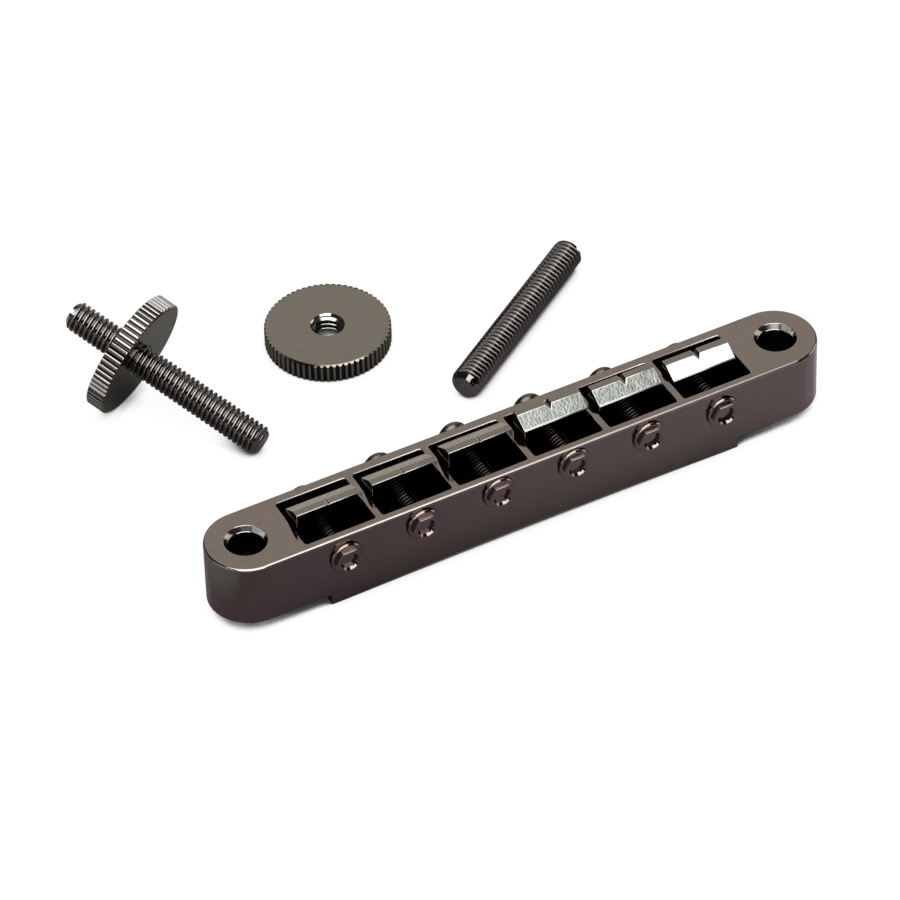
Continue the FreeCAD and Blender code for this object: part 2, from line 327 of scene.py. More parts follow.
@dataclass(frozen=True)
class Thread:
    """A metric thread with a broad rounded crest and a narrow root.

    The ridge is given as places along one turn and depths under the crest, as shares of the pitch and of the
    thread's depth. The seam keeps the helix clear of the planes that trim it.
    """

    radius: float
    pitch: float
    steps: int = 48
    depth_share: float = 0.6
    seam: float = 0.013
    ridge: tuple[tuple[float, float], ...] = (
        (-0.46, 1.0), (-0.21, 0.16), (-0.165, 0.06), (-0.1, 0.012), (0, 0), (0.1, 0.012), (0.165, 0.06), (0.21, 0.16),
        (0.46, 1.0),
    )

    def bar(self, length: float, start: float = 0.0, grown: float = 0.0) -> Solid:
        """Wind a threaded bar along Z and trim it square at both ends.

        Args:
            length: The bar's length.
            start: Height of its lower end. The helix always passes through the same
                place, so two bars wound from one axis mesh with each other.
            grown: How much wider than the thread the bar is, for cutting a nut.

        Returns:
            The bar.
        """
        solid = Solid()
        crest = self.radius + grown
        depth = self.depth_share * self.pitch
        first = math.floor(start / self.pitch) - 1
        last = math.ceil((start + length) / self.pitch) + 1
        corners = [
            solid.bm.verts.new((crest - sunk * depth, 0, (turn + rise) * self.pitch + self.seam))
            for turn in range(first, last + 1) for rise, sunk in self.ridge
        ]
        for lower, upper in zip(corners, corners[1:]):
            solid.bm.edges.new((lower, upper))
        bmesh.ops.spin(
            solid.bm, geom=solid.bm.verts[:] + solid.bm.edges[:], cent=(0, 0, 0), axis=(0, 0, 1),
            dvec=(0, 0, self.pitch / self.steps), angle=2 * math.pi, steps=self.steps, use_merge=False,
        )
        bmesh.ops.remove_doubles(solid.bm, verts=solid.bm.verts, dist=1e-3)
        for height, normal in ((start, -1), (start + length, 1)):
            bmesh.ops.bisect_plane(
                solid.bm, geom=solid.bm.verts[:] + solid.bm.edges[:] + solid.bm.faces[:], dist=1e-6,
                plane_co=(0, 0, height), plane_no=(0, 0, normal), clear_outer=True,
            )
        rims = [edge for edge in solid.bm.edges if edge.is_boundary]
        bmesh.ops.holes_fill(solid.bm, edges=rims, sides=0)
        bmesh.ops.recalc_face_normals(solid.bm, faces=solid.bm.faces)
        return solid


@dataclass(frozen=True)
class Plating:
    """Dark nickel plating: two close tones over a fine grain and a broad swell."""

    name: str
    tone: Colour
    other_tone: Colour
    smoothest: float
    roughest: float
    grain_size: float = 0.0001
    grain_depth: float = 0.0000008
    swell_size: float = 0.002
    swell_depth: float = 0.000002
    tone_scale: float = 900.0

    def build(self, groups: "PlatingGroups") -> Material:
        """Make the material.

        Args:
            groups: The node groups that every plating shares.

        Returns:
            The material.
        """
        material = bpy.data.materials.new(self.name)
        graph = Graph.emptied(material)
        place = graph.node("ShaderNodeTexCoord").outputs["Object"]
        tone = graph.group(
            groups.tone, Scale=self.tone_scale, First=(*self.tone, 1), Second=(*self.other_tone, 1)
        )
        graph.link(place, tone.inputs["Vector"])
        grain = graph.group(
            groups.grain, Fine=1 / self.grain_size, Broad=1 / self.swell_size, Smoothest=self.smoothest,
            Roughest=self.roughest, Share=self.swell_depth / (self.swell_depth + self.grain_depth),
        )
        graph.link(place, grain.inputs["Vector"])
        bump = graph.node("ShaderNodeBump")
        bump.inputs["Distance"].default_value = self.grain_depth + self.swell_depth
        bump.inputs["Strength"].default_value = 1.0
        graph.link(grain.outputs["Height"], bump.inputs["Height"])
        metal = graph.node("ShaderNodeBsdfPrincipled")
        metal.inputs["Metallic"].default_value = 1.0
        graph.link(tone.outputs["Colour"], metal.inputs["Base Color"])
        graph.link(grain.outputs["Roughness"], metal.inputs["Roughness"])
        graph.link(bump.outputs["Normal"], metal.inputs["Normal"])
        graph.link(metal.outputs["BSDF"], graph.node("ShaderNodeOutputMaterial").inputs["Surface"])
        return material


class Graph:
    """Places nodes in a tree and joins them."""

    def __init__(self, tree: Tree) -> None:
        """Remember the tree."""
        self.tree = tree

    @classmethod
    def emptied(cls, owner: Material | bpy.types.World) -> "Graph":
        """Open the tree of a new material or world, without the nodes that it comes with."""
        owner.use_nodes = True
        owner.node_tree.nodes.clear()
        return cls(owner.node_tree)

    def node(self, kind: str, **settings: object) -> Node:
        """Place a node.

        Args:
            kind: Its type.
            **settings: Properties to set on it.

        Returns:
            The node.
        """
        placed = self.tree.nodes.new(kind)
        placed.location = (180 * len(self.tree.nodes), 0)
        for key, value in settings.items():
            setattr(placed, key, value)
        return placed

    def group(self, tree: Tree, **values: object) -> Node:
        """Place a node group.

        Args:
            tree: The group's tree.
            **values: Values for its inputs, by name.

        Returns:
            The group's node.
        """
        placed = self.node("ShaderNodeGroup")
        placed.node_tree = tree
        for key, value in values.items():
            placed.inputs[key].default_value = value
        return placed

    def link(self, source: Socket, target: Socket) -> None:
        """Join an output to an input."""
        self.tree.links.new(source, target)

    def noise(self, vector: Socket, scale: Socket, detail: float) -> Socket:
        """Place a noise texture.

        Args:
            vector: Where it is read.
            scale: Its scale.
            detail: Its detail.

        Returns:
            The noise as a value.
        """
        texture = self.node("ShaderNodeTexNoise")
        texture.inputs["Detail"].default_value = detail
        self.link(vector, texture.inputs["Vector"])
        self.link(scale, texture.inputs["Scale"])
        return texture.outputs["Fac"]

    def spread(self, value: Socket, low: float, high: float) -> Socket:
        """Place a smooth, clamped step.

        Args:
            value: The value to map.
            low: The value that becomes 0.
            high: The value that becomes 1.

        Returns:
            The result.
        """
        placed = self.node("ShaderNodeMapRange", interpolation_type="SMOOTHSTEP")
        self.link(value, placed.inputs["Value"])
        placed.inputs["From Min"].default_value = low
        placed.inputs["From Max"].default_value = high
        return placed.outputs["Result"]

    def sum(self, operation: str, first: Socket, second: Socket | float) -> Socket:
        """Place a sum of two values.

        Args:
            operation: What is done with them.
            first: The first value.
            second: The second value, as a socket or a number.

        Returns:
            The result.
        """
        placed = self.node("ShaderNodeMath", operation=operation)
        self.link(first, placed.inputs[0])
        if isinstance(second, Socket):
            self.link(second, placed.inputs[1])
        else:
            placed.inputs[1].default_value = second
        return placed.outputs["Value"]

    def mix(self, share: Socket, first: Socket | Colour, second: Socket | Colour) -> Socket:
        """Place a mix of two colours.

        Args:
            share: How much of the second colour shows.
            first: The first colour, as a socket or a colour.
            second: The second colour, as a socket or a colour.

        Returns:
            The mixed colour.
        """
        placed = self.node("ShaderNodeMix", data_type="RGBA")
        self.link(share, placed.inputs["Factor"])
        colours = [socket for socket in placed.inputs if socket.type == "RGBA"]
        for socket, colour in zip(colours, (first, second)):
            if isinstance(colour, Socket):
                self.link(colour, socket)
            else:
                socket.default_value = (*colour, 1)
        return next(socket for socket in placed.outputs if socket.type == "RGBA")

    def emission(self, colour: Socket) -> Socket:
        """Place an even glow of a colour."""
        placed = self.node("ShaderNodeEmission")
        self.link(colour, placed.inputs["Color"])
        return placed.outputs["Emission"]

    def bounced(self) -> Socket:
        """Tell whether a ray comes to the surface by way of a mirror image or through glass."""
        rays = self.node("ShaderNodeLightPath")
        return self.sum("MAXIMUM", rays.outputs["Is Glossy Ray"], rays.outputs["Is Transmission Ray"])


class PlatingGroups:
    """The node groups that the platings share."""

    def __init__(self) -> None:
        """Build the groups once."""
        self.tone = self.make_tone()
        self.grain = self.make_grain()

    @staticmethod
    def start(name: str, inputs: dict[str, str], outputs: dict[str, str]) -> tuple[Graph, Node, Node]:
        """Open a group with named sockets.

        Args:
            name: The group's name.
            inputs: The kind of each input, by name.
            outputs: The kind of each output, by name.

        Returns:
            Its graph, its input node and its output node.
        """
        tree = bpy.data.node_groups.new(name, "ShaderNodeTree")
        for sockets, way in ((inputs, "INPUT"), (outputs, "OUTPUT")):
            for label, kind in sockets.items():
                tree.interface.new_socket(name=label, in_out=way, socket_type=f"NodeSocket{kind}")
        graph = Graph(tree)
        return graph, graph.node("NodeGroupInput"), graph.node("NodeGroupOutput")

    def make_tone(self) -> Tree:
        """Two tones that drift into each other over the plating."""
        kinds = {"Vector": "Vector", "Scale": "Float", "First": "Color", "Second": "Color"}
        graph, given, result = self.start("plating_tone", kinds, {"Colour": "Color"})
        drift = graph.noise(given.outputs["Vector"], given.outputs["Scale"], 3.0)
        share = graph.spread(drift, 0.35, 0.65)
        graph.link(graph.mix(share, given.outputs["First"], given.outputs["Second"]), result.inputs["Colour"])
        return graph.tree

    def make_grain(self) -> Tree:
        """A fine grain over a broad swell, as a height and as a roughness."""
        kinds = {name: "Float" for name in ("Fine", "Broad", "Smoothest", "Roughest", "Share")}
        graph, given, result = self.start(
            "plating_grain", {"Vector": "Vector", **kinds}, {"Height": "Float", "Roughness": "Float"}
        )
        fine = graph.noise(given.outputs["Vector"], given.outputs["Fine"], 0.0)
        broad = graph.noise(given.outputs["Vector"], given.outputs["Broad"], 1.0)
        height = graph.node("ShaderNodeMix", data_type="FLOAT")
        graph.link(given.outputs["Share"], height.inputs["Factor"])
        graph.link(fine, height.inputs["A"])
        graph.link(broad, height.inputs["B"])
        graph.link(height.outputs["Result"], result.inputs["Height"])
        patches = graph.noise(given.outputs["Vector"], given.outputs["Broad"], 4.0)
        rough = graph.spread(patches, 0.35, 0.7)
        graph.link(given.outputs["Smoothest"], rough.node.inputs["To Min"])
        graph.link(given.outputs["Roughest"], rough.node.inputs["To Max"])
        graph.link(rough, result.inputs["Roughness"])
        return graph.tree


@dataclass
class BridgeBody:
    """The bar of the bridge, with six wells, two post holes and twelve screw holes."""

    half_length: float = 42.175
    half_width: float = 5.36
    height: float = 8.7
    drop: float = -FLOOR
    end_steps: int = 40
    middle: float = 28.45
    arch_half: float = 26.5
    arch_rise: float = 0.78
    arch_steps: int = 24
    post_place: float = 37.0
    post_hole: float = 2.35
    sink_rim: float = 2.68
    sink_foot: float = 2.4
    sink_depth: float = 0.74
    ledge_depth: float = 0.8
    well_half: float = 4.75
    well_front: float = -4.21
    well_rear: float = 3.93
    well_depth: float = 7.2
    well_corner: float = 0.3
    wells_end: float = 33.0
    wells_margin: float = 0.4
    screw_hole: float = 1.55
    drill_reach: float = 8.0
    edge: float = 0.35
    rim: float = 0.16
    sink_round: float = 0.05
    steepest_round: float = 0.1
    flattest_round: float = 0.98

    def bar(self) -> Solid:
        """The plain bar: straight sides and round ends, deeper in the middle.

        Returns:
            The bar.
        """
        solid = Solid()
        bm = solid.bm
        centre = self.half_length - self.half_width
        tip = bm.verts.new((centre, -self.half_width, -self.drop))
        bmesh.ops.spin(
            bm, geom=[tip], cent=(centre, 0, 0), axis=(0, 0, 1), angle=math.pi,
            steps=self.end_steps, use_merge=False,
        )
        bmesh.ops.mirror(bm, geom=bm.verts[:] + bm.edges[:], axis="X", merge_dist=0)
        ends = [vert for vert in bm.verts if len(vert.link_edges) == 1]
        for side in (-1, 1):
            bm.edges.new([vert for vert in ends if vert.co.y * side > 0])
        face = bmesh.ops.contextual_create(bm, geom=bm.edges[:])["faces"]
        made = bmesh.ops.extrude_face_region(bm, geom=face)["geom"]
        bmesh.ops.translate(bm, vec=(0, 0, self.height + self.drop), verts=points_of(made))
        solid.turn_outwards()
        reach = self.half_width + OVERCUT
        for side in (-1, 1):
            near, far = sorted((side * self.middle, side * (self.half_length + OVERCUT)))
            solid.combine(Solid.box((near, -reach, -self.drop - OVERCUT), (far, reach, 0)), Cut.AWAY)
        return solid.combine(self.arch(reach), Cut.AWAY)

    def arch(self, reach: float) -> Solid:
        """The shallow arch under the middle, as a solid to cut away.

        Args:
            reach: How far it goes to the front and the rear.

        Returns:
            The arch.
        """
        radius = (self.arch_half ** 2 + self.arch_rise ** 2) / (2 * self.arch_rise)
        centre = -self.drop + self.arch_rise - radius
        half_angle = math.asin(self.arch_half / radius)
        solid = Solid()
        bm = solid.bm
        ends = [bm.verts.new((self.arch_half, side * reach, -self.drop)) for side in (-1, 1)]
        edge = bm.edges.new(ends)
        bmesh.ops.spin(
            bm, geom=[*ends, edge], cent=(0, 0, centre), axis=(0, -1, 0), angle=2 * half_angle,
            steps=self.arch_steps, use_merge=False,
        )
        made = bmesh.ops.extrude_face_region(bm, geom=bm.faces[:])["geom"]
        bmesh.ops.translate(bm, vec=(0, 0, -OVERCUT), verts=points_of(made))
        return solid.turn_outwards()

    def well(self, string: int) -> Solid:
        """The pocket that a saddle slides in, as a solid to cut away."""
        x = string_place(string)
        low = (x - self.well_half, self.well_front, self.height - self.well_depth)
        high = (x + self.well_half, self.well_rear, self.height + OVERCUT)
        return Solid.box(low, high).round_edges(self.well_corner, segments=5, chosen=self.is_upright)

    def post_bore(self, side: int) -> Solid:
        """A post hole with its sink, as a solid to cut away."""
        bore = Solid.lathe([
            (0, -OVERCUT), (self.post_hole, -OVERCUT), (self.post_hole, self.height - self.ledge_depth),
            (self.sink_foot, self.height - self.sink_depth), (self.sink_rim, self.height),
            (self.sink_rim, self.height + OVERCUT), (0, self.height + OVERCUT),
        ], steps=80)
        return bore.shift(side * self.post_place)

    def build(self, finishes: Finishes) -> Piece:
        """Cut the bar, round its edges and plate it.

        Args:
            finishes: The platings by name.

        Returns:
            The finished piece.
        """
        solid = self.bar()
        cutters = Solid()
        for string in STRINGS:
            cutters.add(self.well(string))
        for side in (-1, 1):
            cutters.add(self.post_bore(side))
        solid.combine(cutters, Cut.AWAY)
        holes = Solid()
        for string in STRINGS:
            hole = Solid.cross_bar(self.screw_hole, self.drill_reach)
            holes.add(hole.shift(string_place(string), 0, screw_height(string)))
        solid.combine(holes, Cut.AWAY)
        solid.round_edges(self.edge, segments=4, chosen=self.is_outer_rim)
        solid.round_edges(self.rim, segments=3, chosen=self.is_well_rim)
        solid.round_edges(self.sink_round, segments=2, chosen=self.is_hole_rim)
        # Sinks and rounded top edges take the paler platings that paint their highlights; the rest takes the bar's
        # own plating.
        for face in solid.bm.faces:
            face.material_index = 1 if self.is_sink(face) else 2 * self.is_rounding(face)
        platings = [finishes[name] for name in ("bar_plating", "painted_highlight_plating", "painted_highlight_edge_plating")]
        return solid.to_object("bridge_body", "bridge", "body_plating", platings, name="bridge_bar")

    @staticmethod
    def is_upright(edge: Edge) -> bool:
        """Tell whether an edge stands upright."""
        return abs(edge.verts[0].co.z - edge.verts[1].co.z) > 1

    def is_on_top(self, edge: Edge) -> bool:
        """Tell whether an edge lies in the top face."""
        return min(vert.co.z for vert in edge.verts) > self.height - CLOSE

    def is_outer_rim(self, edge: Edge) -> bool:
        """Tell whether an edge is part of the top face's outline."""
        centre = self.half_length - self.half_width
        inset = (vert.co.xy - Vector((max(-centre, min(centre, vert.co.x)), 0)) for vert in edge.verts)
        return self.is_on_top(edge) and min(reach.length for reach in inset) > self.half_width - SLACK

    def is_well_rim(self, edge: Edge) -> bool:
        """Tell whether an edge is the rim of a well."""
        across = max(abs(vert.co.y) for vert in edge.verts)
        middle = all(abs(vert.co.x) < self.wells_end for vert in edge.verts)
        return middle and self.is_on_top(edge) and across < self.half_width - self.wells_margin

    def is_hole_rim(self, edge: Edge) -> bool:
        """Tell whether an edge is the rim of a post hole."""
        reaches = [math.hypot(abs(vert.co.x) - self.post_place, vert.co.y) for vert in edge.verts]
        return self.is_on_top(edge) and max(reaches) < self.sink_rim + SLACK

    def is_rounding(self, face: Face) -> bool:
        """Tell whether a face belongs to a rounded edge of the top."""
        slanted = self.steepest_round < face.normal.z < self.flattest_round
        return slanted and face.calc_center_median().z > self.height - self.edge

    def is_sink(self, face: Face) -> bool:
        """Tell whether a face belongs to the sink of a post hole."""
        centre = face.calc_center_median()
        reach = math.hypot(abs(centre.x) - self.post_place, centre.y)
        inside = self.post_hole - SLACK < reach < self.sink_rim + SLACK
        return inside and self.height - self.ledge_depth < centre.z < self.height - SLACK


def string_place(string: int) -> float:
    """Where a string crosses the bridge, along X from the middle."""
    return (string - MIDDLE_STRING) * STRING_PITCH


def screw_height(string: int) -> float:
    """Height of a screw's axis on the arc that the six axes follow."""
    return SCREW_ARC_TOP - string_place(string) ** 2 / (2 * SCREW_ARC_RADIUS)


@dataclass
class Saddle:
    """A block that the string rests on, upright on one side and sloping on the other."""

    string: int
    ridge: float
    place: float
    # The slope's plating: a real speckled finish on saddles 4 and 5, painted light on saddles 1 to 3 and 6.
    slope_finish_and_painted_light: str
    half_width: float = 4.45
    half_depth: float = 1.5
    foot: float = 2.6
    ridge_width: float = 1.0
    slope_drop: float = 1.13
    slope_lip: float = 0.15
    bass_notch: tuple[float, float] = (0.15, 0.12)
    treble_notch: tuple[float, float] = (0.4, 0.4)
    notch_reach: float = 4.0
    hole: float = 1.55
    drill_reach: float = 3.0
    edge: float = 0.2
    slope_match: float = 0.999
    side_match: float = 0.99

    def build(self, finishes: Finishes) -> Piece:
        """Cut the block, round its edges and plate it.

        Args:
            finishes: The platings by name.

        Returns:
            The finished piece.
        """
        left = -self.half_width
        shoulder = self.ridge - self.slope_drop
        solid = Solid.prism([
            (left, -self.half_depth, -self.foot),
            (left, self.half_depth, -self.foot),
            (left, self.half_depth, self.ridge),
            (left, self.half_depth - self.ridge_width, self.ridge),
            (left, -self.half_depth + self.slope_lip, shoulder),
            (left, -self.half_depth, shoulder),
        ], (2 * self.half_width, 0, 0))
        solid.combine(Solid.cross_bar(self.hole, self.drill_reach), Cut.AWAY)
        is_bass = self.string <= BASS_STRINGS
        half, depth = self.bass_notch if is_bass else self.treble_notch
        front, above = -self.notch_reach, self.ridge + OVERCUT
        notch = Solid.prism([
            (0, front, self.ridge - depth), (half, front, self.ridge), (half, front, above), (-half, front, above),
            (-half, front, self.ridge),
        ], (0, 2 * self.notch_reach, 0))
        solid.combine(notch, Cut.AWAY)
        tilt = math.atan2(self.slope_drop, 2 * self.half_depth - self.ridge_width - self.slope_lip)
        lean = Vector((0, -math.sin(tilt), math.cos(tilt)))
        solid.round_edges(self.edge)
        # Slopes take the slope plating; the rounded edges take the paler plating that paints their highlights.
        for face in solid.bm.faces:
            is_edge = max(abs(part) for part in face.normal) < self.side_match
            face.material_index = 1 if face.normal.dot(lean) > self.slope_match else 2 * is_edge
        if is_bass:
            solid.move(Matrix.Rotation(math.pi, 4, "Z"))
        solid.shift(string_place(self.string), self.place, screw_height(self.string))
        name = f"saddle_{self.string}"
        platings = [finishes[kind] for kind in ("saddle_plating", self.slope_finish_and_painted_light, "painted_highlight_plating")]
        return solid.to_object(name, name, "saddle_plating", platings)


@dataclass
class IntonationScrew:
    """A screw with a flange and a socketed hexagon in front, and a round knob behind."""

    string: int
    thread: Thread = Thread(1.5, 0.5, 32)
    flange_rear: float = -5.44
    flange_thickness: float = 0.4
    flange_radius: float = 2.22
    flange_round: float = 0.3
    hexagon_width: float = 3.2
    hexagon_height: float = 0.62
    hexagon_round: float = 0.08
    hexagon_overlap: float = 0.1
    socket_width: float = 1.9
    socket_rim: float = 1.25
    socket_sink: float = 0.3
    socket_depth: float = 0.85
    shank_overlap: float = 0.05
    cap_front: float = 5.44
    cap_girth: float = 6.36
    cap_radius: float = 2.0
    cap_reach: float = 1.15

    def stand(self, solid: Solid) -> Solid:
        """Lay a piece that was built along Z on the screw's own axis."""
        return solid.move(along_y()).shift(string_place(self.string), 0, screw_height(self.string))

    def build_screw(self, finishes: Finishes) -> Piece:
        """Make the flange, the hexagon with its socket, and the threaded shank.

        Args:
            finishes: The platings by name.

        Returns:
            The finished piece.
        """
        flange_front = self.flange_rear - self.flange_thickness
        front = flange_front - self.hexagon_height

        def is_front(edge: Edge) -> bool:
            """Tell whether an edge lies at the front of the flange or before it."""
            return max(vert.co.z for vert in edge.verts) < flange_front + CLOSE

        head = Solid.hexagon(self.hexagon_width, front, flange_front + self.hexagon_overlap)
        head.round_edges(self.hexagon_round, chosen=is_front, sharpest=20.0)
        socket = Solid.hexagon(self.socket_width, front - OVERCUT, front + self.socket_depth)
        inner = self.socket_rim - self.socket_sink
        sink = Solid.lathe([
            (0, front - OVERCUT), (self.socket_rim, front - OVERCUT), (self.socket_rim, front),
            (inner, front + self.socket_sink), (0, front + self.socket_sink),
        ])
        head.combine(socket, Cut.AWAY).combine(sink, Cut.AWAY)
        flange = Solid.disc(self.flange_radius, flange_front, self.flange_rear)
        flange.round_edges(self.flange_round, segments=6, chosen=is_front)
        start = self.flange_rear - self.shank_overlap
        shank = self.thread.bar(self.cap_front - start, start)
        flange.combine(head, Cut.ONTO).combine(shank, Cut.ONTO)
        # Faces behind the flange, the shank down in the wells, take the near-black plating that paints their shade.
        for face in flange.bm.faces:
            face.material_index = int(face.calc_center_median().z > self.flange_rear)
        name = f"intonation_screw_{self.string}"
        platings = [finishes["screw_plating"], finishes["painted_shade_shank"]]
        return self.stand(flange).to_object(name, f"screw_{self.string}", "screw_plating", platings)

    def build_cap(self, finishes: Finishes) -> Piece:
        """Make the round knob on the screw's rear end.

        Args:
            finishes: The platings by name.

        Returns:
            The finished piece.
        """
        knob = Solid()
        bm = knob.bm
        bmesh.ops.create_uvsphere(bm, u_segments=64, v_segments=32, radius=self.cap_radius)
        bmesh.ops.scale(bm, vec=(1, 1, self.cap_reach / self.cap_radius), verts=bm.verts)
        knob.shift(z=self.cap_girth)
        bmesh.ops.bisect_plane(
            bm, geom=bm.verts[:] + bm.edges[:] + bm.faces[:], dist=1e-5,
            plane_co=(0, 0, self.cap_front), plane_no=(0, 0, 1), clear_inner=True,
        )
        bmesh.ops.holes_fill(bm, edges=[edge for edge in bm.edges if edge.is_boundary], sides=0)
        knob.turn_outwards()
        name = f"screw_cap_{self.string}"
        platings = [finishes["knob_plating"]]
        return self.stand(knob).to_object(name, f"screw_{self.string}", "screw_plating", platings)


@dataclass
class Post:
    """A threaded post with chamfered ends and a screwdriver slot in its upper end."""

    name: str
    body: str
    stand: Matrix
    thread: Thread = Thread(2.0, 0.7)
    length: float = 29.4
    chamfer: float = 0.6
    slot_width: float = 0.7
    slot_depth: float = 0.8
    saw_reach: float = 3.0
    chamfer_margin: float = 0.05

    def build(self, finishes: Finishes) -> Piece:
        """Wind the thread, chamfer the ends, saw the slot and plate the post.

        Args:
            finishes: The platings by name.

        Returns:
            The finished piece.
        """
        solid = self.thread.bar(self.length)
        full = self.thread.radius + self.chamfer_margin
        narrow = self.thread.radius - self.chamfer
        rise = full - narrow
        envelope = Solid.lathe([
            (0, 0), (narrow, 0), (full, rise), (full, self.length - rise), (narrow, self.length), (0, self.length),
        ], steps=96)
        solid.combine(envelope, Cut.INSIDE)
        half = self.slot_width / 2
        low = (-half, -self.saw_reach, self.length - self.slot_depth)
        solid.combine(Solid.box(low, (half, self.saw_reach, self.length + OVERCUT)), Cut.AWAY)
        return solid.move(self.stand).to_object(self.name, self.body, "post_plating", [finishes["post_plating"]])


@dataclass
class ThumbWheel:
    """A disc with a threaded hole and a ring of straight knurl teeth."""

    name: str
    body: str
    stand: Matrix
    station: float = 0.0
    thread: Thread = Thread(2.0, 0.7)
    radius: float = 8.1
    root: float = 7.78
    face_rim: float = 7.73
    rim_drop: float = 0.13
    thickness: float = 2.6
    teeth: int = 64
    shift_shares: tuple[float, ...] = (0.0, 0.06, 0.11, -0.05)
    tip_round: float = 0.06
    tip_band: float = 0.05
    bore: float = 1.66
    sink: float = 2.2
    tap_overrun: float = 0.5
    tap_play: float = 0.05
    face_margin: float = 0.002

    def quarter(self, vert: Vert) -> int:
        """Which of its tooth's four points a point is: two on the crest, then two in the gap."""
        return round(math.atan2(vert.co.y, vert.co.x) * 4 * self.teeth / (2 * math.pi)) % 4

    def spread_ring(self, verts: list[Vert], upper: bool) -> None:
        """Spread a plain ring to the teeth's outline, where the rim's cone meets them.

        Args:
            verts: The ring's points, on the circle of the face rim.
            upper: Whether the ring belongs to the upper face.
        """
        fall = self.rim_drop / (self.radius - self.face_rim)
        for vert in verts:
            reach = self.radius if self.quarter(vert) < 2 else self.root
            drop = (reach - self.face_rim) * fall
            height = self.thickness - drop if upper else drop
            vert.co = (*(vert.co.xy.normalized() * reach), height)

    def outline(self) -> Solid:
        """Draw the wheel out ring by ring, from the lower face round to the bore.

        Returns:
            The wheel with a plain bore.
        """
        solid = Solid()
        bm = solid.bm
        bmesh.ops.create_circle(bm, cap_ends=False, radius=self.face_rim, segments=4 * self.teeth)
        first = bm.edges[:]

        def next_ring(edges: list[Edge]) -> tuple[list[Edge], list[Vert]]:
            """Extrude a ring and give the new ring's edges and points."""
            made = bmesh.ops.extrude_edge_only(bm, edges=edges)["geom"]
            verts = points_of(made)
            fresh = set(verts)
            return [item for item in made if isinstance(item, Edge) and fresh.issuperset(item.verts)], verts

        lower, verts = next_ring(first)
        self.spread_ring(verts, upper=False)
        upper, verts = next_ring(lower)
        self.spread_ring(verts, upper=True)
        ring = upper
        depth = self.sink - self.bore
        steps = (
            (self.face_rim, self.thickness), (self.sink, self.thickness), (self.bore, self.thickness - depth),
            (self.bore, depth), (self.sink, 0),
        )
        for radius, height in steps:
            ring, verts = next_ring(ring)
            for vert in verts:
                vert.co = (*(vert.co.xy.normalized() * radius), height)
        bmesh.ops.bridge_loops(bm, edges=ring + first)
        pitch = 2 * math.pi / self.teeth
        turns = [Matrix.Rotation(share * pitch, 3, "Z") for share in self.shift_shares]
        moved = {quarter: [vert for vert in bm.verts if self.quarter(vert) == quarter] for quarter in range(4)}
        for quarter, verts in moved.items():
            bmesh.ops.rotate(bm, cent=(0, 0, 0), matrix=turns[quarter], verts=verts)
        return solid.turn_outwards()

    def build(self, finishes: Finishes) -> Piece:
        """Round the teeth, cut the thread and plate the wheel.

        Args:
            finishes: The platings by name.

        Returns:
            The finished piece.
        """
        solid = self.outline()
        solid.round_edges(self.tip_round, segments=2, chosen=self.is_tip)
        solid.shift(z=self.station)
        start = self.station - self.tap_overrun
        tap = self.thread.bar(self.thickness + 2 * self.tap_overrun, start, grown=self.tap_play)
        solid.combine(tap, Cut.AWAY)
        for face in solid.bm.faces:
            face.material_index = self.finish_number(face)
        solid.move(self.stand)
        platings = [finishes[kind] for kind in ("wheel_plating", "painted_highlight_plating", "knurl_gap_painted_shade")]
        return solid.to_object(self.name, self.body, "wheel_plating", platings, crease=14.0)

    def is_tip(self, edge: Edge) -> bool:
        """Tell whether an edge lies on the tip of a tooth."""
        return min(vert.co.xy.length for vert in edge.verts) > self.radius - CLOSE

    def finish_number(self, face: Face) -> int:
        """Choose a face's plating: 1, paler to paint highlights, in the tapped hole and on the tips; 2, darker to
        paint shade, in the gaps; else 0.
        """
        centre = face.calc_center_median()
        reach, height = centre.xy.length, centre.z - self.station
        if reach > self.root - self.tip_band and abs(face.normal.z) < 0.5:
            return 1 if reach > self.radius - self.tip_band else 2
        return int(reach < self.sink and self.face_margin < height < self.thickness - self.face_margin)


@dataclass(frozen=True)
class Patch:
    """A round patch of the room: its middle's direction, and the angles where it ends and where it is full."""

    centre: Point
    edge: float
    core: float

    def mask(self, graph: Graph, direction: Socket) -> Socket:
        """Mask the patch.

        Args:
            graph: The world's graph.
            direction: The direction that is looked in.

        Returns:
            The mask.
        """
        near = graph.node("ShaderNodeVectorMath", operation="DOT_PRODUCT")
        graph.link(direction, near.inputs[0])
        near.inputs[1].default_value = Vector(self.centre).normalized()
        fringe, full = (math.cos(math.radians(angle)) for angle in (self.edge, self.core))
        return graph.spread(near.outputs["Value"], fringe, full)


